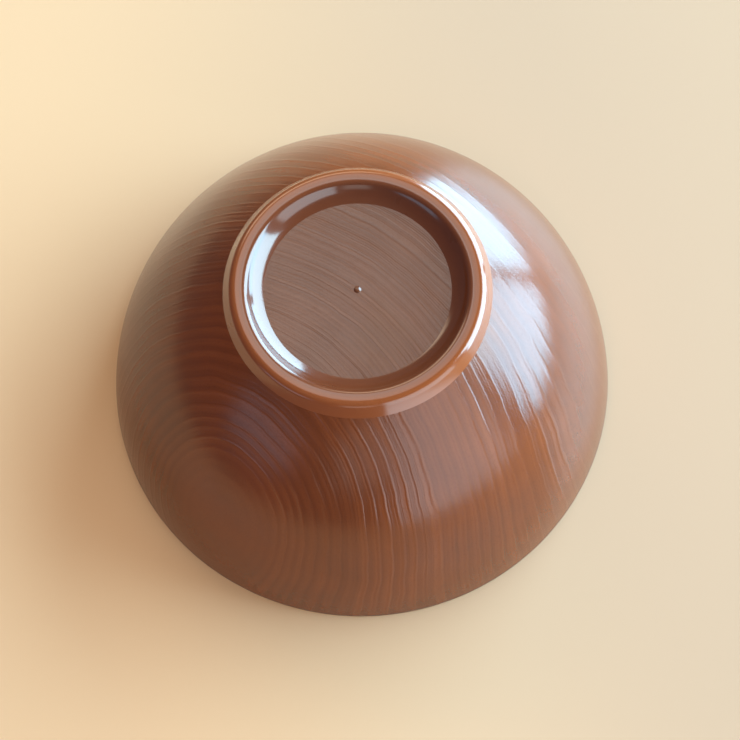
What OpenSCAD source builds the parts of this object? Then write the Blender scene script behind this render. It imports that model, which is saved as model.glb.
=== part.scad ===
// Soup bowl of moulded resin with a wood-grain coat, stored turned over as it stands on its rim.
// Z = 0 is the rim's plane, the foot is at the top, and every piece is turned about the Z axis.

/* [Bowl] */
// Diameter of the outer wall at the rim's plane
rim_d = 120; // [108:1:136]
// Height from the rim's plane to the foot's standing face
bowl_h = 58; // [52:1:66]
// Lean of the wall from upright at the rim, in degrees
rim_lean = 7; // [4:0.5:11]
// Thickness of the resin wall
wall_t = 2.6; // [2:0.1:3.6]
// Thickness of the resin floor under the food
floor_t = 3.2; // [2.4:0.1:4.5]
// Radius of the curve from wall to floor on the food side
floor_blend = 22; // [14:1:26]
// Height of the lip, the band at the rim that no coat covers
lip_h = 0.8; // [0.8:0.1:2]
// Rounding of the lip's two edges
lip_round = 0.5; // [0.2:0.05:0.55]

/* [Foot ring] */
// Diameter of the standing face over its rounded outer edge
foot_d = 56; // [50:1:62]
// Width of the standing face with its rounded edges
face_w = 4.9; // [4.4:0.1:6]
// Rounding of the standing face's edges
foot_round = 1.9; // [1.2:0.05:2]
// Slope of the ring's outer side just below the rounded edge, in degrees
outer_slope = 60; // [50:1:75]
// Spread of the outer side from the standing face to the wall
foot_flare = 1.1; // [0.7:0.1:2]
// Slope of the ring's inner side just below the rounded edge, in degrees
inner_slope = 50; // [42:1:60]
// Spread of the inner side from the standing face to the panel
recess_flare = 2.8; // [2:0.1:4]
// Depth of the panel below the standing face
recess_depth = 3; // [2.2:0.1:4]
// Width of the tongue that locates the ring in the floor
tongue_w = 3; // [2:0.1:4]
// Depth of the tongue
tongue_h = 1; // [0.6:0.1:1.4]
// Bond gap around the tongue
bond_gap = 0.1; // [0.05:0.01:0.2]

/* [Coats] */
// Thickness of the grained coat on the wall and the panel
outer_coat_t = 0.2; // [0.15:0.01:0.3]
// Thickness of the smooth coat on the food side
inner_coat_t = 0.2; // [0.15:0.01:0.3]

/* [Gate mark] */
// Diameter of the pip left by the mould's gate
gate_d = 1.2; // [0.8:0.1:2]
// Height of the pip
gate_h = 0.3; // [0.2:0.05:0.5]

/* [Hidden] */
$fn = 180;
wall_steps = 32;
blend_steps = 20;
side_steps = 10;
edge_steps = 8;

// Heights of the flat underside, the panel's coat and the two faces of the floor
panel_z = bowl_h - recess_depth;
seat_z = panel_z - outer_coat_t;
floor_z = seat_z - floor_t;
food_z = floor_z - inner_coat_t;

// The foot ring's radii, from the wall to the panel
base_r = foot_d / 2 + foot_flare;
panel_r = foot_d / 2 - face_w - recess_flare;
tongue_r = foot_d / 2 - face_w / 2;
gate_r = gate_d / 2;

// The outer wall is one arc that leaves the rim at its lean and reaches the foot ring's base
rim_normal = [-cos(rim_lean), -sin(rim_lean)];
rim_point = [rim_d / 2, 0];
outer_r = tangent_radius(rim_point, rim_normal, [base_r, seat_z]);
wall_c = rim_point + outer_r * rim_normal;
shell_out_r = outer_r - outer_coat_t;
shell_in_r = shell_out_r - wall_t;
food_r = shell_in_r - inner_coat_t;

// The curve from wall to floor touches both, on the food side
blend_z = food_z - floor_blend;
blend_c = [arc_x(food_r - floor_blend, blend_z), blend_z];
blend_angle = arc_angle(food_r - floor_blend, blend_z);

// Radius of the arc that starts at p with its centre along n and ends at q
function tangent_radius(p, n, q) = (q - p) * (q - p) / (2 * (q - p) * n);

// Points along an arc about c, from angle a to angle b
function arc(c, r, a, b, steps) =
    [for (i = [0:steps]) c + r * dir(a + (b - a) * i / steps)];
function dir(angle) = [cos(angle), sin(angle)];

// Where an arc of radius r about the wall's centre crosses height z
function arc_angle(r, z) = asin((z - wall_c[1]) / r);
function arc_x(r, z) = wall_c[0] + r * cos(arc_angle(r, z));
function wall_arc(r, low_z, high_z) =
    arc(wall_c, r, arc_angle(r, low_z), arc_angle(r, high_z), wall_steps);

// The food side from the axis to the lip, grow outside the coat's own face
function food_side(grow) = concat(
    [[0, food_z + grow]],
    arc(blend_c, floor_blend + grow, 90, blend_angle, blend_steps),
    arc(wall_c, food_r + grow, blend_angle, arc_angle(food_r + grow, lip_h), wall_steps)
);

// The lip's outline, from its inner to its outer edge
function lip_edge(r) = [arc_x(r, lip_round), lip_round];
function lip() = concat(
    [[arc_x(food_r, lip_h), lip_h]],
    arc(lip_edge(food_r + lip_round), lip_round,
        180 + arc_angle(food_r + lip_round, lip_round), 270, edge_steps),
    arc(lip_edge(outer_r - lip_round), lip_round,
        -90, arc_angle(outer_r - lip_round, lip_round), edge_steps),
    [[arc_x(outer_r, lip_h), lip_h]]
);

// The groove in the underside that takes the ring's tongue
function tongue(gap) = [
    [tongue_r + tongue_w / 2 + gap, seat_z],
    [tongue_r + tongue_w / 2 + gap, seat_z - tongue_h - gap],
    [tongue_r - tongue_w / 2 - gap, seat_z - tongue_h - gap],
    [tongue_r - tongue_w / 2 - gap, seat_z]
];

// One side of the foot ring from its standing face: a rounded edge, then a hollow sweep to point q
function ring_side(edge_r, way, slope, q) =
    let (c = [edge_r - way * foot_round, bowl_h - foot_round],
         n = [way * sin(slope), cos(slope)],
         p = c + foot_round * n,
         r = tangent_radius(p, n, q),
         from = p - (p + r * n),
         to = q - (p + r * n))
    concat(
        arc(c, foot_round, 90, 90 - way * slope, edge_steps),
        arc(p + r * n, abs(r), atan2(from[1], from[0]), end_angle(from, to), side_steps)
    );

// Angle of the vector b, counted on from that of the vector a by the shorter way
function end_angle(a, b) =
    atan2(a[1], a[0]) + atan2(a[0] * b[1] - a[1] * b[0], a * b);

// Moulded resin: wall, floor and bare lip, with the gate's pip on the underside
module bowl_shell() {
    color("#5a3220")
    rotate_extrude()
    polygon(concat(
        food_side(inner_coat_t),
        lip(),
        wall_arc(shell_out_r, lip_h, seat_z),
        tongue(bond_gap),
        [[gate_r, seat_z], [gate_r, seat_z + gate_h], [0, seat_z + gate_h]]
    ));
}

// Smooth ring that the bowl stands on in use, bonded to the flat underside
module foot_ring() {
    outer = ring_side(foot_d / 2, 1, outer_slope, [base_r, seat_z]);
    inner = ring_side(foot_d / 2 - face_w, -1, inner_slope, [panel_r, panel_z]);
    color("#8a5238")
    rotate_extrude()
    polygon(concat(
        outer,
        tongue(0),
        [[panel_r, seat_z]],
        [for (i = [len(inner) - 1:-1:0]) inner[i]]
    ));
}

// Brown coat with the wood grain in relief, from the lip to the foot ring
module outer_coat() {
    inside = wall_arc(shell_out_r, lip_h, seat_z);
    color("#7a4629")
    rotate_extrude()
    polygon(concat(
        wall_arc(outer_r, lip_h, seat_z),
        [for (i = [len(inside) - 1:-1:0]) inside[i]]
    ));
}

// The same coat on the sunk panel inside the foot ring, over the gate's pip
module base_coat() {
    color("#6f4a3c")
    rotate_extrude()
    polygon([
        [0, seat_z + gate_h],
        [gate_r, seat_z + gate_h],
        [gate_r, seat_z],
        [panel_r, seat_z],
        [panel_r, panel_z],
        [gate_r + outer_coat_t, panel_z],
        [gate_r + outer_coat_t, panel_z + gate_h],
        [0, panel_z + gate_h]
    ]);
}

// Smooth coat on the food side, from the floor to the lip
module inner_coat() {
    outside = food_side(inner_coat_t);
    color("#6a3a22")
    rotate_extrude()
    polygon(concat(
        food_side(0),
        [for (i = [len(outside) - 1:-1:0]) outside[i]]
    ));
}

bowl_shell();
foot_ring();
outer_coat();
base_coat();
inner_coat();
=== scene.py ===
import math

import bpy
from mathutils import Euler, Matrix, Vector, noise


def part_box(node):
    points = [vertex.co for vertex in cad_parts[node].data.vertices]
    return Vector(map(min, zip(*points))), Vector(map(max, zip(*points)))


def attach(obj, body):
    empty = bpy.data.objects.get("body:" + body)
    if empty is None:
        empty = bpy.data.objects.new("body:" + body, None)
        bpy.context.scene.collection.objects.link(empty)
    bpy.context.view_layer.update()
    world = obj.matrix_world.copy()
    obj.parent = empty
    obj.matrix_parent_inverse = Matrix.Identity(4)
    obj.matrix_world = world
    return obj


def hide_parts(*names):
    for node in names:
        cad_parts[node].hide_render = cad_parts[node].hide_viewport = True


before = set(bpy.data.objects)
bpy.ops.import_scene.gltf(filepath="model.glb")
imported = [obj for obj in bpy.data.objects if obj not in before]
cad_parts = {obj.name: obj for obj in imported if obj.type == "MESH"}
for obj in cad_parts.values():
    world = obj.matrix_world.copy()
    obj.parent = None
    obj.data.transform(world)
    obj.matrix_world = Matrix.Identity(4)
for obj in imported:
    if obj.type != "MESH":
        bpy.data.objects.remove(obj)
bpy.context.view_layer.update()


# Resin shell
# The bowl itself, wall, floor and lip in one moulding of brown resin, with the gate's pip under the foot.
# It stands here turned over on its lip, and the lip is all that the coats leave in sight.
MM = 0.001
RIM_R = 60 * MM
RIM_LEAN = math.radians(7)
BASE_R = 29.1 * MM
RESIN_T = 2.6 * MM
COAT_T = 0.2 * MM
BLEND_R = 22 * MM
LIP_ROUND = 0.5 * MM
TONGUE_R = 25.55 * MM
TONGUE_W = 3 * MM
TONGUE_H = 1 * MM
BOND_GAP = 0.1 * MM
GATE_R = 0.6 * MM
GATE_H = 0.3 * MM
RESIN_TURNS = 256
RESIN_WALL_STEPS = 48
UNDERSIDE_STEPS = 8
FOOD_FLOOR_STEPS = 6
BLEND_STEPS = 24
INSIDE_STEPS = 40
LIP_STEPS = 8
WELD = 0.001 * MM
CREASE = math.radians(35)
RESIN_DARK = (0.055, 0.019, 0.009, 1)
RESIN_LIGHT = (0.085, 0.030, 0.014, 1)
RESIN_CLOUD = 420.0
RESIN_ROUGH = 0.38, 0.5
RESIN_SPECKLE = 0.01 * MM
RESIN_INDEX = 1.5

lip_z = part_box("outer_coat")[0].z
seat_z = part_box("outer_coat")[1].z
food_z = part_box("inner_coat")[1].z - COAT_T

# The wall's arc leaves the rim at its lean and ends on the foot's base
rim_inward = Vector((-math.cos(RIM_LEAN), -math.sin(RIM_LEAN)))
wall_chord = Vector((BASE_R, seat_z)) - Vector((RIM_R, 0))
wall_r = wall_chord.length_squared / (2 * wall_chord.dot(rim_inward))
wall_c = Vector((RIM_R, 0)) + wall_r * rim_inward
resin_out_r = wall_r - COAT_T
resin_in_r = resin_out_r - RESIN_T
food_r = resin_in_r - COAT_T


def wall_angle(radius, z):
    """Angle at which an arc about the wall's centre reaches a height."""
    return math.asin((z - wall_c.y) / radius)


def wall_point(radius, z):
    """Place on that arc at a height."""
    return wall_c.x + radius * math.cos(wall_angle(radius, z)), z


def start_outline(name, x, z):
    """A plane merged to the one point from which the outline of a turned piece is drawn."""
    bpy.ops.object.select_all(action="DESELECT")
    bpy.ops.mesh.primitive_plane_add(size=MM)
    bpy.context.object.name = name
    bpy.ops.object.mode_set(mode="EDIT")
    bpy.ops.mesh.merge(type="CENTER")
    bpy.ops.transform.translate(value=(x, 0, z))
    return Vector((x, z))


def line_to(tip, x, z, steps=1):
    """Draws the outline straight on."""
    step = (Vector((x, z)) - tip) / steps
    for _ in range(steps):
        bpy.ops.mesh.extrude_vertices_move(TRANSFORM_OT_translate={"value": (step.x, 0, step.y)})
    return Vector((x, z))


def arc_to(tip, centre, angle, steps):
    """Draws the outline on round a centre, the shorter way, to an angle counted from +X towards +Z."""
    spoke = tip - centre
    sweep = math.remainder(angle - math.atan2(spoke.y, spoke.x), 2 * math.pi)
    bpy.ops.mesh.spin(steps=steps, angle=sweep, center=(centre.x, 0, centre.y), axis=(0, 1, 0))
    return centre + spoke.length * Vector((math.cos(angle), math.sin(angle)))


def turn_outline(steps):
    """Turns the outline once round the bowl's axis, closes the seam and points the faces outwards."""
    bpy.ops.object.mode_set(mode="OBJECT")
    piece = bpy.context.object
    lathe = piece.modifiers.new("lathe", "SCREW")
    lathe.axis = "Z"
    lathe.steps = steps
    lathe.render_steps = steps
    bpy.ops.object.modifier_apply(modifier=lathe.name)
    bpy.ops.object.mode_set(mode="EDIT")
    bpy.ops.mesh.select_all(action="SELECT")
    bpy.ops.mesh.remove_doubles(threshold=WELD)
    bpy.ops.mesh.normals_make_consistent(inside=False)
    bpy.ops.object.mode_set(mode="OBJECT")
    bpy.ops.object.shade_smooth_by_angle(angle=CREASE)
    return piece


blend_z = food_z - BLEND_R
blend_c = Vector(wall_point(food_r - BLEND_R, blend_z))
blend_end = wall_angle(food_r - BLEND_R, blend_z)


def draw_food_side(tip, depth):
    """Draws the bowl's inside from the axis to the lip, at a depth below the food coat's face."""
    tip = line_to(tip, blend_c.x, food_z + depth, FOOD_FLOOR_STEPS)
    tip = arc_to(tip, blend_c, blend_end, BLEND_STEPS)
    return arc_to(tip, wall_c, wall_angle(food_r + depth, lip_z), INSIDE_STEPS)


def draw_lip(tip):
    """Draws the lip from the food coat round its two rounded edges to the wall's coat."""
    inner = Vector(wall_point(food_r + LIP_ROUND, LIP_ROUND))
    outer = Vector(wall_point(wall_r - LIP_ROUND, LIP_ROUND))
    tip = line_to(tip, *wall_point(food_r, lip_z))
    tip = line_to(tip, *(inner - LIP_ROUND * (inner - wall_c).normalized()))
    tip = arc_to(tip, inner, -math.pi / 2, LIP_STEPS)
    tip = line_to(tip, outer.x, 0)
    tip = arc_to(tip, outer, wall_angle(wall_r - LIP_ROUND, LIP_ROUND), LIP_STEPS)
    return line_to(tip, *wall_point(wall_r, lip_z))


def draw_tongue(tip, gap):
    """Draws the groove in the underside, or the foot's tongue that fits it, going inwards."""
    half = TONGUE_W / 2 + gap
    tip = line_to(tip, TONGUE_R + half, seat_z)
    tip = line_to(tip, TONGUE_R + half, seat_z - TONGUE_H - gap)
    tip = line_to(tip, TONGUE_R - half, seat_z - TONGUE_H - gap)
    return line_to(tip, TONGUE_R - half, seat_z)


def add_node(material, kind, inputs=None, **settings):
    """A shader node. Each input takes a value, or the socket of an earlier node."""
    made = material.node_tree.nodes.new(kind)
    for name, value in settings.items():
        setattr(made, name, value)
    for name, value in (inputs or {}).items():
        if isinstance(value, bpy.types.NodeSocket):
            material.node_tree.links.new(value, made.inputs[name])
        else:
            made.inputs[name].default_value = value
    return made


def new_finish(name):
    """An empty material, with its output node."""
    material = bpy.data.materials.new(name)
    material.use_nodes = True
    material.node_tree.nodes.clear()
    return material, add_node(material, "ShaderNodeOutputMaterial")


def mix_colours(material, amount, low, high):
    """Socket of a colour that goes from low to high with an amount."""
    mix = add_node(material, "ShaderNodeMix", {0: amount, 6: low, 7: high}, data_type="RGBA")
    return mix.outputs[2]


tip = start_outline("resin_shell", 0, food_z + COAT_T)
tip = draw_food_side(tip, COAT_T)
tip = draw_lip(tip)
tip = line_to(tip, *wall_point(resin_out_r, lip_z))
tip = arc_to(tip, wall_c, wall_angle(resin_out_r, seat_z), RESIN_WALL_STEPS)
tip = draw_tongue(tip, BOND_GAP)
tip = line_to(tip, GATE_R, seat_z, UNDERSIDE_STEPS)
tip = line_to(tip, GATE_R, seat_z + GATE_H)
tip = line_to(tip, 0, seat_z + GATE_H)
resin_shell = turn_outline(RESIN_TURNS)

bare_resin, output = new_finish("bare_resin")
place = add_node(bare_resin, "ShaderNodeTexCoord").outputs["Object"]
cloud = add_node(bare_resin, "ShaderNodeTexNoise", {"Vector": place, "Scale": RESIN_CLOUD, "Detail": 4.0})
colour = mix_colours(bare_resin, cloud.outputs["Fac"], RESIN_DARK, RESIN_LIGHT)
rough = add_node(bare_resin, "ShaderNodeMapRange",
                 {"Value": cloud.outputs["Fac"], "To Min": RESIN_ROUGH[0], "To Max": RESIN_ROUGH[1]})
speckle = add_node(bare_resin, "ShaderNodeBump",
                   {"Height": cloud.outputs["Fac"], "Distance": RESIN_SPECKLE, "Strength": 0.5})
shader = add_node(bare_resin, "ShaderNodeBsdfPrincipled",
                  {"Base Color": colour, "Roughness": rough.outputs["Result"],
                   "Normal": speckle.outputs["Normal"], "IOR": RESIN_INDEX})
bare_resin.node_tree.links.new(shader.outputs["BSDF"], output.inputs["Surface"])
resin_shell.data.materials.append(bare_resin)
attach(resin_shell, "root")
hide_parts("bowl_shell")


# Wall coat
# Brown urethane over the whole outside of the wall, with the growth rings of the master turned from wood
# standing in relief, their hard late wood proud of the brushed early wood. Sprayed on to the resin.
WALL_TURNS = 640
WALL_ROWS = 132
WALL_BACK_ROWS = 6
RING_GAP = 2.5 * MM
PITH_POINT = Vector((-26.4, -34.2, -12)) * MM
PITH_WAY = Vector((-0.189, -0.193, 0.963)).normalized()
YEAR_SWELL = 0.8, 0.16
YEAR_RIPPLE = 0.2, 0.5
RING_WANDER = (0.3, 23 * MM), (0.12, 7 * MM), (0.04, 2.5 * MM)
RELIEF = 0.006 * MM
EARLY_WOOD = 0.25
RELIEF_FADE = 1.2 * MM
WEAKEST_RING = 0.4
BAND_RISE = 0.05, 0.55
BAND_FALL = 0.72, 1.0
RIDGE_RISE = 0.58, 0.79
RIDGE_FALL = 0.81, 0.98
LINES_PER_RING = 3.4
LINE_EDGES = 0.32, 0.68
RINGS_START = 2
RINGS_FULL = 7
RIDGES_FULL = 13
PITH_GRAIN = 0.2
CLOUD_EDGES = 0.3, 0.7
PATCH_SCALE = 85.0
PATCH_GRAIN = 0.65
# Fades of the grain by side: painted shade on the far left, painted light under the window's highlight
CLEAR_WAY = (0.8, -0.6, 0.0)
FAINT_AT = -52 * MM
CLEAR_AT = -28 * MM
LEFT_GRAIN = 0.3
WINDOW_WAY = (0.85, 0.5, 0.0)
FADE_FROM = 18 * MM
FADE_TO = 40 * MM
WINDOW_GRAIN = 0.28
DEEP_WAY = (0.35, -0.94, 0.0)
DEEP_FROM = 8 * MM
DEEP_FULL = 34 * MM
DEEP_RIDGES = 1.4
FIBRE_SCALE = (2600.0, 2600.0, 260.0)
PORE_EDGES = 0.36, 0.48
PORE_STAIN = 0.18
PORE_SINK = -0.15
VALLEY_BROWN = (0.127, 0.0262, 0.0056, 1)
CREST_BROWN = (0.178, 0.0392, 0.0088, 1)
HEART_BROWN = (0.172, 0.0330, 0.0061, 1)
PORE_BROWN = (0.085, 0.018, 0.005, 1)
HEART_RINGS = 11
HEART_SHARE = 0.6
TONE_SCALE = 55.0
TONES = 0.92, 1.08
VALLEY_ROUGH = 0.5
CREST_ROUGH = 0.4
URETHANE_ROUGH = 0.19
WALL_INDEX = 1.5
WALL_RIDGE = 0.054 * MM
WALL_BANDS = 1.0
WALL_LINES = 0.23


def growth_rings(place):
    """Rings between the tree's pith and a place, counted with the unevenness of real growth."""
    spoke = place - PITH_POINT
    spoke = spoke - spoke.dot(PITH_WAY) * PITH_WAY
    years = spoke.length / RING_GAP
    years += YEAR_SWELL[0] * noise.noise(Vector((years * YEAR_SWELL[1], 0.0, 3.7)))
    years += YEAR_RIPPLE[0] * noise.noise(Vector((years * YEAR_RIPPLE[1], 5.1, 0.0)))
    for share, width in RING_WANDER:
        years += share * noise.noise(place / width)
    return years


def carve_rings(piece, fade):
    """Stores the ring count of every point, and sinks the early wood between the rings by the relief."""
    counts = [growth_rings(vertex.co) for vertex in piece.data.vertices]
    rings = piece.data.attributes.new("rings", "FLOAT", "POINT")
    rings.data.foreach_set("value", counts)
    valley = piece.vertex_groups.new(name="early_wood")
    for vertex, count in zip(piece.data.vertices, counts):
        grown = max(0, min(1, (count - RINGS_START) / (RINGS_FULL - RINGS_START)))
        depth = grown * fade(vertex.co) * (0.5 + 0.5 * math.cos(2 * math.pi * (count - EARLY_WOOD)))
        if depth > 0:
            valley.add([vertex.index], depth, "REPLACE")
    relief = piece.modifiers.new("relief", "DISPLACE")
    relief.vertex_group = valley.name
    relief.mid_level = 0
    relief.strength = -RELIEF
    bpy.ops.object.modifier_apply(modifier=relief.name)
    piece.vertex_groups.clear()


def wall_fade(place):
    """Full relief on the coat's outer face, none on its back and at its two edges."""
    across = math.hypot(math.hypot(place.x, place.y) - wall_c.x, place.z - wall_c.y)
    if across < wall_r - COAT_T / 4:
        return 0
    edge = min(place.z - lip_z, seat_z - place.z)
    return max(0, min(1, edge / RELIEF_FADE))


def grain_finish(name, valley, crest, index, depth, coarse, fine):
    """Brown wood-grain urethane: crests catch the light, valleys are duller, pores run with the fibre."""
    material, output = new_finish(name)

    def sums(operation, *values):
        """Socket of a sum worked out on values or sockets."""
        made = add_node(material, "ShaderNodeMath", dict(enumerate(values)), operation=operation)
        return made.outputs[0]

    def ramp(value, start, end, low, high):
        """Socket of a value eased from low to high while the given one goes from start to end."""
        return add_node(material, "ShaderNodeMapRange",
                        {"Value": value, "From Min": start, "From Max": end, "To Min": low, "To Max": high},
                        interpolation_type="SMOOTHSTEP").outputs["Result"]

    rings = add_node(material, "ShaderNodeAttribute", attribute_name="rings").outputs["Fac"]
    place = add_node(material, "ShaderNodeTexCoord").outputs["Object"]

    def reach(way):
        """Socket of how far a place lies in a direction from the bowl's axis."""
        return add_node(material, "ShaderNodeVectorMath", {0: place, 1: way},
                        operation="DOT_PRODUCT").outputs["Value"]

    # Each ring is a band of its own strength with a narrow ridge in it, and finer lines run in between
    ring_luck = add_node(material, "ShaderNodeTexWhiteNoise",
                         {"W": sums("FLOOR", rings)}, noise_dimensions="1D").outputs["Value"]
    ring_luck = ramp(ring_luck, 0.0, 1.0, WEAKEST_RING, 1.0)
    growth = sums("FRACT", rings)
    band = sums("MULTIPLY", ramp(growth, *BAND_RISE, 0.0, ring_luck), ramp(growth, *BAND_FALL, 1.0, 0.0))
    ridge = sums("MULTIPLY", ramp(growth, *RIDGE_RISE, 0.0, ring_luck), ramp(growth, *RIDGE_FALL, 1.0, 0.0))
    lines = add_node(material, "ShaderNodeTexNoise", {"W": rings, "Scale": LINES_PER_RING, "Detail": 2.0},
                     noise_dimensions="1D").outputs["Fac"]
    lines = ramp(lines, *LINE_EDGES, 0.0, fine)

    # The grain is fainter near the pith and in patches. It is also faded by how the light falls: on the
    # shaded far left, as painted shade that pulls the colour to the duller valley brown, and on the window's
    # side, where its highlight falls, as painted light that washes the grain out. Its ridges stand higher on
    # the near side
    patch = add_node(material, "ShaderNodeTexNoise",
                     {"Vector": place, "Scale": PATCH_SCALE, "Detail": 2.0}).outputs["Fac"]
    strength = sums("MULTIPLY", ramp(rings, RINGS_START, RINGS_FULL, PITH_GRAIN, 1.0),
                    ramp(patch, *CLOUD_EDGES, PATCH_GRAIN, 1.0))
    strength = sums("MULTIPLY", strength, ramp(reach(CLEAR_WAY), FAINT_AT, CLEAR_AT, LEFT_GRAIN, 1.0))
    strength = sums("MULTIPLY", strength, ramp(reach(WINDOW_WAY), FADE_FROM, FADE_TO, 1.0, WINDOW_GRAIN))
    grain = sums("MULTIPLY", sums("MULTIPLY_ADD", band, coarse, lines), strength)
    height = sums("MULTIPLY", sums("MULTIPLY_ADD", ridge, coarse, lines), strength)
    height = sums("MULTIPLY", height, ramp(rings, RINGS_START, RIDGES_FULL, PITH_GRAIN, 1.0))
    height = sums("MULTIPLY", height, ramp(reach(DEEP_WAY), DEEP_FROM, DEEP_FULL, 1.0, DEEP_RIDGES))

    # Pores are short and thin, and lie along the trunk
    to_tree = Matrix((PITH_WAY.orthogonal().normalized(),
                      PITH_WAY.cross(PITH_WAY.orthogonal()).normalized(), PITH_WAY)).to_euler()
    along = add_node(material, "ShaderNodeMapping", {"Vector": place, "Rotation": to_tree})
    fibre = add_node(material, "ShaderNodeMapping", {"Vector": along.outputs["Vector"], "Scale": FIBRE_SCALE})
    fibres = add_node(material, "ShaderNodeTexNoise",
                      {"Vector": fibre.outputs["Vector"], "Scale": 1.0, "Detail": 3.0}).outputs["Fac"]
    pores = ramp(fibres, *PORE_EDGES, 1.0, 0.0)

    tone = add_node(material, "ShaderNodeTexNoise",
                    {"Vector": place, "Scale": TONE_SCALE, "Detail": 2.0}).outputs["Fac"]
    heart = sums("MULTIPLY", ramp(rings, RINGS_START, HEART_RINGS, 1.0, 0.0), HEART_SHARE)
    brown = mix_colours(material, heart, mix_colours(material, grain, valley, crest), HEART_BROWN)
    brown = mix_colours(material, sums("MULTIPLY", pores, PORE_STAIN), brown, PORE_BROWN)
    brown = add_node(material, "ShaderNodeHueSaturation",
                     {"Color": brown, "Value": ramp(tone, *CLOUD_EDGES, *TONES)}).outputs["Color"]
    carved = add_node(material, "ShaderNodeBump",
                      {"Height": sums("MULTIPLY_ADD", pores, PORE_SINK, height), "Distance": depth,
                       "Strength": 1.0}).outputs["Normal"]
    shader = add_node(material, "ShaderNodeBsdfPrincipled",
                      {"Base Color": brown, "Roughness": ramp(grain, 0.0, 1.0, VALLEY_ROUGH, CREST_ROUGH),
                       "Normal": carved, "Coat Normal": carved, "IOR": RESIN_INDEX,
                       "Specular IOR Level": 0.0, "Coat Weight": 1.0, "Coat Roughness": URETHANE_ROUGH,
                       "Coat IOR": index})
    material.node_tree.links.new(shader.outputs["BSDF"], output.inputs["Surface"])
    return material


tip = start_outline("wall_coat", *wall_point(wall_r, lip_z))
tip = arc_to(tip, wall_c, wall_angle(wall_r, seat_z), WALL_ROWS)
tip = line_to(tip, *wall_point(resin_out_r, seat_z))
tip = arc_to(tip, wall_c, wall_angle(resin_out_r, lip_z), WALL_BACK_ROWS)
tip = line_to(tip, *wall_point(wall_r, lip_z))
wall_coat = turn_outline(WALL_TURNS)
carve_rings(wall_coat, wall_fade)
wall_urethane = grain_finish("wall_urethane", VALLEY_BROWN, CREST_BROWN, WALL_INDEX, WALL_RIDGE,
                             WALL_BANDS, WALL_LINES)
wall_coat.data.materials.append(wall_urethane)
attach(wall_coat, "root")
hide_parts("outer_coat")


# Panel coat
# The same grained urethane on the sunk panel inside the foot, laid over the gate's pip, which shows as a
# small dome in the middle. Its rings carry on those of the wall, with more of the fine lines in between.
PANEL_R = 20.3 * MM
PANEL_TURNS = 360
PANEL_STEPS = 46
PANEL_BACK_STEPS = 4
PIP_STEPS = 8
PIP_SINK = 0.02 * MM
PANEL_VALLEY = (0.098, 0.0258, 0.0088, 1)
PANEL_CREST = (0.119, 0.0328, 0.0112, 1)
PANEL_INDEX = 1.62
PANEL_RIDGE = 0.030 * MM
PANEL_BANDS = 0.4
PANEL_LINES = 0.8
panel_z = seat_z + COAT_T


def panel_fade(place):
    """Full relief on the panel's face, none on its back, on the pip and at its edge."""
    out = math.hypot(place.x, place.y)
    if place.z < panel_z - COAT_T / 4:
        return 0
    edge = min(PANEL_R - out, out - GATE_R - COAT_T)
    return max(0, min(1, edge / RELIEF_FADE))


# The coat's back is sunk a little into the resin's pip, so that the dome stays clear of it
pip_edge = GATE_R + COAT_T
pip_r = (pip_edge ** 2 + GATE_H ** 2) / (2 * GATE_H)
pip_c = Vector((0, panel_z + GATE_H - pip_r))
tip = start_outline("panel_coat", 0, panel_z + GATE_H)
tip = arc_to(tip, pip_c, math.atan2(panel_z - pip_c.y, pip_edge), PIP_STEPS)
tip = line_to(tip, PANEL_R, panel_z, PANEL_STEPS)
tip = line_to(tip, PANEL_R, seat_z)
tip = line_to(tip, GATE_R, seat_z, PANEL_BACK_STEPS)
tip = line_to(tip, GATE_R, seat_z + GATE_H - PIP_SINK)
tip = line_to(tip, 0, seat_z + GATE_H - PIP_SINK)
panel_coat = turn_outline(PANEL_TURNS)
carve_rings(panel_coat, panel_fade)
panel_urethane = grain_finish("panel_urethane", PANEL_VALLEY, PANEL_CREST, PANEL_INDEX, PANEL_RIDGE,
                              PANEL_BANDS, PANEL_LINES)
panel_coat.data.materials.append(panel_urethane)
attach(panel_coat, "root")
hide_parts("base_coat")


# Foot ring
# The smooth ring that the bowl stands on in use, brown resin under clear gloss, its two sides hollowed in a
# sweep from the narrow standing face. Its tongue sits in the groove of the underside, bonded there.
FOOT_R = 28 * MM
FACE_W = 4.9 * MM
FOOT_ROUND = 1.9 * MM
OUTER_SLOPE = math.radians(60)
INNER_SLOPE = math.radians(50)
FOOT_TURNS = 384
FACE_STEPS = 3
EDGE_STEPS = 18
OUTER_STEPS = 16
INNER_STEPS = 20
FOOT_DARK = (0.094, 0.0195, 0.0054, 1)
FOOT_LIGHT = (0.113, 0.0240, 0.0068, 1)
# Golden of the outer edge is painted light; the darker brown left in the recess is painted shade
OUTER_LIT_GOLD = (0.217, 0.0490, 0.0106, 1)
LIT_EDGE_FROM = 23.4 * MM
LIT_EDGE_FULL = 27.0 * MM
FOOT_CLOUD = 160.0
FOOT_PEEL = 700.0
PEEL_DEPTH = 0.01 * MM
PEEL_STRENGTH = 0.4
FOOT_UNDER_ROUGH = 0.24, 0.34
FOOT_UNDER_GLOSS = 0.1
FOOT_ROUGH = 0.12
FOOT_INDEX = 1.64
foot_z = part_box("foot_ring")[1].z


def foot_side(edge_r, way, slope, end):
    """Centre of one side's rounded edge, and the centre of the hollow that runs on from it to a point."""
    edge_c = Vector((edge_r - way * FOOT_ROUND, foot_z - FOOT_ROUND))
    outward = Vector((way * math.sin(slope), math.cos(slope)))
    start = edge_c + FOOT_ROUND * outward
    chord = end - start
    radius = chord.length_squared / (2 * chord.dot(outward))
    return edge_c, start + radius * outward


def angle_from(centre, point):
    """Angle at which a point is seen from a centre."""
    return math.atan2(point.y - centre.y, point.x - centre.x)


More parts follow.
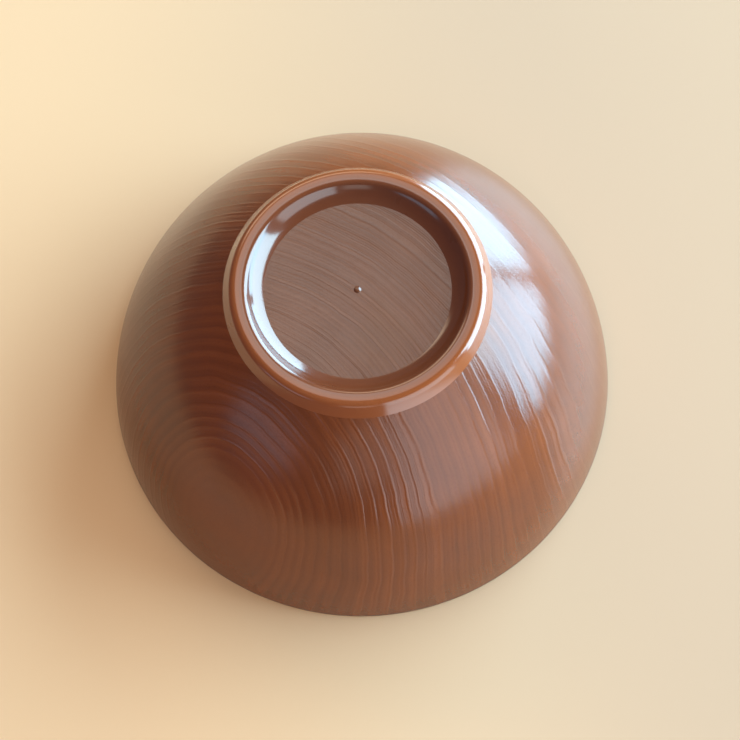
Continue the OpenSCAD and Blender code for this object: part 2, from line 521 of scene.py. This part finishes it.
base_end = Vector((BASE_R, seat_z))
panel_end = Vector((PANEL_R, panel_z))
outer_c, outer_hollow = foot_side(FOOT_R, 1, OUTER_SLOPE, base_end)
inner_c, inner_hollow = foot_side(FOOT_R - FACE_W, -1, INNER_SLOPE, panel_end)
tip = start_outline("foot", inner_c.x, foot_z)
tip = line_to(tip, outer_c.x, foot_z, FACE_STEPS)
tip = arc_to(tip, outer_c, math.pi / 2 - OUTER_SLOPE, EDGE_STEPS)
tip = arc_to(tip, outer_hollow, angle_from(outer_hollow, base_end), OUTER_STEPS)
tip = draw_tongue(tip, 0)
tip = line_to(tip, PANEL_R, seat_z)
tip = line_to(tip, PANEL_R, panel_z)
tip = arc_to(tip, inner_hollow, angle_from(inner_hollow, inner_c), INNER_STEPS)
tip = arc_to(tip, inner_c, math.pi / 2, EDGE_STEPS)
foot = turn_outline(FOOT_TURNS)

foot_gloss, output = new_finish("foot_gloss")
place = add_node(foot_gloss, "ShaderNodeTexCoord").outputs["Object"]
cloud = add_node(foot_gloss, "ShaderNodeTexNoise", {"Vector": place, "Scale": FOOT_CLOUD, "Detail": 3.0})
orange_peel = add_node(foot_gloss, "ShaderNodeTexNoise", {"Vector": place, "Scale": FOOT_PEEL, "Detail": 1.0})
colour = mix_colours(foot_gloss, cloud.outputs["Fac"], FOOT_DARK, FOOT_LIGHT)

# Towards the outer edge the colour turns golden and the recess stays dark brown: painted light on the outer
# side and painted shade in the recess
flat = add_node(foot_gloss, "ShaderNodeVectorMath", {0: place, 1: (1, 1, 0)}, operation="MULTIPLY")
out = add_node(foot_gloss, "ShaderNodeVectorMath", {0: flat.outputs["Vector"]}, operation="LENGTH")
lit_edge = add_node(foot_gloss, "ShaderNodeMapRange",
                {"Value": out.outputs["Value"], "From Min": LIT_EDGE_FROM, "From Max": LIT_EDGE_FULL},
                interpolation_type="SMOOTHSTEP")
colour = mix_colours(foot_gloss, lit_edge.outputs["Result"], colour, OUTER_LIT_GOLD)
rough = add_node(foot_gloss, "ShaderNodeMapRange",
                 {"Value": cloud.outputs["Fac"],
                  "To Min": FOOT_UNDER_ROUGH[0], "To Max": FOOT_UNDER_ROUGH[1]})
flow = add_node(foot_gloss, "ShaderNodeBump",
                {"Height": orange_peel.outputs["Fac"], "Distance": PEEL_DEPTH, "Strength": PEEL_STRENGTH})
shader = add_node(foot_gloss, "ShaderNodeBsdfPrincipled",
                  {"Base Color": colour, "Roughness": rough.outputs["Result"],
                   "Normal": flow.outputs["Normal"], "Coat Normal": flow.outputs["Normal"],
                   "Coat Weight": 1.0, "Coat Roughness": FOOT_ROUGH, "Coat IOR": FOOT_INDEX,
                   "IOR": RESIN_INDEX, "Specular IOR Level": FOOT_UNDER_GLOSS})
foot_gloss.node_tree.links.new(shader.outputs["BSDF"], output.inputs["Surface"])
foot.data.materials.append(foot_gloss)
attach(foot, "root")
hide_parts("foot_ring")


# Food coat
# Smooth brown urethane on the bowl's inside, from the floor to the lip, sprayed on to the resin.
# It can't be seen while the bowl stands turned over.
FOOD_TURNS = 256
FOOD_BACK_STEPS = 12
FOOD_BACK_FLOOR_STEPS = 3
FOOD_DARK = (0.130, 0.040, 0.016, 1)
FOOD_LIGHT = (0.160, 0.052, 0.021, 1)
FOOD_CLOUD = 120.0
FOOD_PEEL = 600.0
FOOD_UNDER_ROUGH = 0.26, 0.36
FOOD_ROUGH = 0.1
FOOD_INDEX = 1.5

tip = start_outline("food_coat", 0, food_z)
tip = draw_food_side(tip, 0)
tip = line_to(tip, *wall_point(food_r + COAT_T, lip_z))
tip = arc_to(tip, wall_c, blend_end, FOOD_BACK_STEPS)
tip = arc_to(tip, blend_c, math.pi / 2, FOOD_BACK_STEPS)
tip = line_to(tip, 0, food_z + COAT_T, FOOD_BACK_FLOOR_STEPS)
food_coat = turn_outline(FOOD_TURNS)

food_gloss, output = new_finish("food_gloss")
place = add_node(food_gloss, "ShaderNodeTexCoord").outputs["Object"]
cloud = add_node(food_gloss, "ShaderNodeTexNoise", {"Vector": place, "Scale": FOOD_CLOUD, "Detail": 3.0})
orange_peel = add_node(food_gloss, "ShaderNodeTexNoise", {"Vector": place, "Scale": FOOD_PEEL, "Detail": 1.0})
colour = mix_colours(food_gloss, cloud.outputs["Fac"], FOOD_DARK, FOOD_LIGHT)
rough = add_node(food_gloss, "ShaderNodeMapRange",
                 {"Value": cloud.outputs["Fac"],
                  "To Min": FOOD_UNDER_ROUGH[0], "To Max": FOOD_UNDER_ROUGH[1]})
flow = add_node(food_gloss, "ShaderNodeBump",
                {"Height": orange_peel.outputs["Fac"], "Distance": PEEL_DEPTH, "Strength": PEEL_STRENGTH})
shader = add_node(food_gloss, "ShaderNodeBsdfPrincipled",
                  {"Base Color": colour, "Roughness": rough.outputs["Result"],
                   "Normal": flow.outputs["Normal"], "Coat Normal": flow.outputs["Normal"],
                   "Coat Weight": 1.0, "Coat Roughness": FOOD_ROUGH, "Coat IOR": FOOD_INDEX,
                   "IOR": RESIN_INDEX})
food_gloss.node_tree.links.new(shader.outputs["BSDF"], output.inputs["Surface"])
food_coat.data.materials.append(food_gloss)
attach(food_coat, "root")
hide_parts("inner_coat")


# Floor
# A plain pale round table top that the turned-over bowl stands on, painted paler on the left as painted light
# that lifts the shade cast there. It is seen as matte, and only what the bowl mirrors of it has a satin
# gloss, which fades at low angles.
FLOOR_R = 235 * MM
FLOOR_T = 20 * MM
FLOOR_SIDES = 256
FLOOR_GAP = 0.02 * MM
FLOOR_CREAM = (0.466, 0.309, 0.210, 1)
FLOOR_PAINTED_LIFT = (0.66, 0.416, 0.249, 1)
SATIN_LEAN = 0.52, 0.70
SATIN_LEVEL = 0.5
SATIN_ROUGH = 0.25
SATIN_INDEX = 1.8
LIFT_WAY = (-0.97, -0.24, 0.0)
LIFT_REACH = 75 * MM

bpy.ops.object.select_all(action="DESELECT")
bpy.ops.mesh.primitive_cylinder_add(vertices=FLOOR_SIDES, radius=FLOOR_R, depth=FLOOR_T)
floor = bpy.context.object
floor.name = "floor"
bpy.ops.object.mode_set(mode="EDIT")
bpy.ops.transform.translate(value=(0, 0, -FLOOR_T / 2 - FLOOR_GAP))
bpy.ops.object.mode_set(mode="OBJECT")
floor_paint, output = new_finish("floor_paint")
place = add_node(floor_paint, "ShaderNodeTexCoord").outputs["Object"]
# Paler towards the left: painted light over the shade that the bowl casts away from the window
side = add_node(floor_paint, "ShaderNodeVectorMath", {0: place, 1: LIFT_WAY}, operation="DOT_PRODUCT")
tone = add_node(floor_paint, "ShaderNodeMapRange",
                {"Value": side.outputs["Value"], "From Min": -LIFT_REACH, "From Max": LIFT_REACH},
                interpolation_type="SMOOTHSTEP")
colour = mix_colours(floor_paint, tone.outputs["Result"], FLOOR_CREAM, FLOOR_PAINTED_LIFT)
path = add_node(floor_paint, "ShaderNodeLightPath")
polish = add_node(floor_paint, "ShaderNodeMapRange",
                  {"Value": path.outputs["Is Camera Ray"], "To Min": SATIN_LEVEL, "To Max": 0.0})
lean = add_node(floor_paint, "ShaderNodeLayerWeight", {"Blend": 0.5})
satin = add_node(floor_paint, "ShaderNodeMapRange",
                 {"Value": lean.outputs["Facing"], "From Min": SATIN_LEAN[0], "From Max": SATIN_LEAN[1],
                  "To Min": polish.outputs["Result"], "To Max": 0.0}, interpolation_type="SMOOTHSTEP")
shader = add_node(floor_paint, "ShaderNodeBsdfPrincipled",
                  {"Base Color": colour, "Roughness": SATIN_ROUGH, "IOR": SATIN_INDEX,
                   "Specular IOR Level": satin.outputs["Result"]})
floor_paint.node_tree.links.new(shader.outputs["BSDF"], output.inputs["Surface"])
floor.data.materials.append(floor_paint)


# Light
# A tall window of two panes on the right with whiter sky above, a dimmer pane in front of it, weak ones in
# front, on the left and at the back, a soft sheet overhead and a warm ceiling that the gloss doesn't show.
# A low light comes from all round, warm on the right, cooler and weaker on the left.
NEAR_LIGHT = 15.4
FAR_LIGHT = 18.7
SKY_LIGHT = 14.0
FRONT_LIGHT = 2.9
DOOR_LIGHT = 1.0
LEFT_LIGHT = 1.2
BACK_LIGHT = 3.8
OVERHEAD_LIGHT = 2.6
CEILING_LIGHT = 3.8
ROUND_LIGHT = 0.16, 0.32
BACKDROP_LIGHT = 0.9
DAYLIGHT = (0.40, 0.75, 1.0)
SKY_WHITE = (0.54, 0.83, 1.0)
OVERHEAD_WHITE = (0.95, 1.0, 0.98)
FRONT_WHITE = (0.78, 0.92, 1.0)
WARM_WALL = (1.0, 0.93, 0.86)
WARM_ROOM = (1.0, 0.80, 0.58)
COOL_ROOM = (0.70, 0.88, 1.0)
BACKDROP_WHITE = (1.0, 0.95, 0.88, 1)
PANE_HEIGHTS = -0.30, 0.30
SKY_HEIGHTS = 0.30, 1.10
NEAR_PANE = (1.0, -0.28), (1.0, 0.47)
FAR_PANE = (1.0, 0.585), (0.50, 1.29)
SKY_CORNER = 1.0, 0.53
FRONT_PANE = (0.95, -0.48), (0.25, -1.10)
DOOR_PANE = (0.20, -1.05), (-0.28, -1.02)
LEFT_PANE = (-0.47, -0.90), (-1.00, -0.36)
BACK_PANE = (0.35, 1.30), (-1.05, 0.95)
FRONT_HEIGHTS = -0.22, 0.85
DOOR_HEIGHTS = 0.10, 0.65
LEFT_HEIGHTS = 0.08, 0.42
BACK_HEIGHTS = 0.65, 1.40
FRONT_EDGE = 0.12
ROOM_EDGE = 0.5
OVERHEAD_EDGE = 1.0
CEILING_EDGE = 0.4
OVERHEAD = (-0.02, 0.225, 0.62), (0.36, 0.42)
CEILING = (-0.12, -0.38, 0.95), (0.70, 0.60)
LIT_WAY = (0.94, 0.34, 0.0)


def add_lamp(name, place, sides, brightness, colour, soft=0.0):
    """A lamp facing down that the camera doesn't see, dimmed towards its edges over a share of its sides."""
    bpy.ops.object.light_add(type="AREA", location=place)
    lamp = bpy.context.object
    lamp.name = name
    lamp.data.shape = "RECTANGLE"
    lamp.data.size, lamp.data.size_y = sides
    lamp.data.energy = brightness * math.pi * sides[0] * sides[1]
    lamp.data.color = colour
    lamp.visible_camera = False
    if soft:
        lamp.data.use_nodes = True
        lamp.data.node_tree.nodes.clear()
        place = add_node(lamp.data, "ShaderNodeNewGeometry").outputs["Parametric"]
        axes = add_node(lamp.data, "ShaderNodeSeparateXYZ", {"Vector": place})
        level = 1.0
        for axis in "XY":
            inside = add_node(lamp.data, "ShaderNodeMath", {0: axes.outputs[axis], 1: 0.5},
                              operation="PINGPONG")
            fade = add_node(lamp.data, "ShaderNodeMapRange",
                            {"Value": inside.outputs[0], "From Max": soft / 2},
                            interpolation_type="SMOOTHSTEP")
            level = add_node(lamp.data, "ShaderNodeMath", {0: fade.outputs["Result"], 1: level},
                             operation="MULTIPLY").outputs[0]
        glow = add_node(lamp.data, "ShaderNodeEmission", {"Strength": level})
        add_node(lamp.data, "ShaderNodeOutputLight", {"Surface": glow.outputs["Emission"]})
    return lamp


def add_pane(name, ends, heights, brightness, colour, soft=0.0):
    """The same lamp set upright between two places on the plan, facing the bowl."""
    start, end = map(Vector, ends)
    middle = (start + end) / 2
    facing = (end - start).orthogonal()
    if facing.dot(middle) > 0:
        facing = -facing
    low, high = heights
    place = (middle.x, middle.y, (low + high) / 2)
    lamp = add_lamp(name, place, ((end - start).length, high - low), brightness, colour, soft)
    lamp.rotation_euler = facing.to_3d().to_track_quat("-Z", "Y").to_euler()


add_pane("near_pane", NEAR_PANE, PANE_HEIGHTS, NEAR_LIGHT, DAYLIGHT)
add_pane("far_pane", FAR_PANE, PANE_HEIGHTS, FAR_LIGHT, DAYLIGHT)
add_pane("near_sky", (NEAR_PANE[0], SKY_CORNER), SKY_HEIGHTS, SKY_LIGHT, SKY_WHITE)
add_pane("far_sky", (SKY_CORNER, FAR_PANE[1]), SKY_HEIGHTS, SKY_LIGHT, SKY_WHITE)
add_pane("front_pane", FRONT_PANE, FRONT_HEIGHTS, FRONT_LIGHT, FRONT_WHITE, FRONT_EDGE)
add_pane("door_pane", DOOR_PANE, DOOR_HEIGHTS, DOOR_LIGHT, WARM_WALL, ROOM_EDGE)
add_pane("left_pane", LEFT_PANE, LEFT_HEIGHTS, LEFT_LIGHT, DAYLIGHT, ROOM_EDGE)
add_pane("back_pane", BACK_PANE, BACK_HEIGHTS, BACK_LIGHT, WARM_ROOM, ROOM_EDGE)
add_lamp("overhead", *OVERHEAD, OVERHEAD_LIGHT, OVERHEAD_WHITE, OVERHEAD_EDGE)
ceiling = add_lamp("ceiling", *CEILING, CEILING_LIGHT, WARM_ROOM, CEILING_EDGE)
ceiling.visible_glossy = False

room = bpy.data.worlds.new("room")
bpy.context.scene.world = room
room.use_nodes = True
room.node_tree.nodes.clear()
around = add_node(room, "ShaderNodeTexCoord")
side = add_node(room, "ShaderNodeVectorMath", {0: around.outputs["Generated"], 1: LIT_WAY},
                operation="DOT_PRODUCT")
share = add_node(room, "ShaderNodeMapRange",
                 {"Value": side.outputs["Value"], "From Min": -1.0, "From Max": 1.0})
level = add_node(room, "ShaderNodeMapRange",
                 {"Value": share.outputs["Result"], "To Min": ROUND_LIGHT[0], "To Max": ROUND_LIGHT[1]})
tint = mix_colours(room, share.outputs["Result"], (*COOL_ROOM, 1), (*WARM_ROOM, 1))
lit = add_node(room, "ShaderNodeBackground", {"Color": tint, "Strength": level.outputs["Result"]})
seen = add_node(room, "ShaderNodeBackground", {"Color": BACKDROP_WHITE, "Strength": BACKDROP_LIGHT})
path = add_node(room, "ShaderNodeLightPath")
both = add_node(room, "ShaderNodeMixShader",
                {0: path.outputs["Is Camera Ray"], 1: lit.outputs["Background"],
                 2: seen.outputs["Background"]})
add_node(room, "ShaderNodeOutputWorld", {"Surface": both.outputs["Shader"]})


# Camera
# Nearly overhead and a little in front, with the bowl's far wall just in sight behind the foot.
CAMERA_PLACE = Vector((2.062, -144.571, 412.568)) * MM
CAMERA_TURN = Euler((math.radians(19.418), math.radians(0.682), math.radians(-1.933)))
SENSOR_WIDTH = 36
LENS = 87.06
NEAR_CLIP = 0.01
bpy.ops.object.camera_add(location=CAMERA_PLACE, rotation=CAMERA_TURN)
camera = bpy.context.object
camera.data.sensor_width = SENSOR_WIDTH
camera.data.lens = LENS
camera.data.clip_start = NEAR_CLIP
bpy.context.scene.camera = camera

bpy.context.scene.view_settings.view_transform = "Standard"
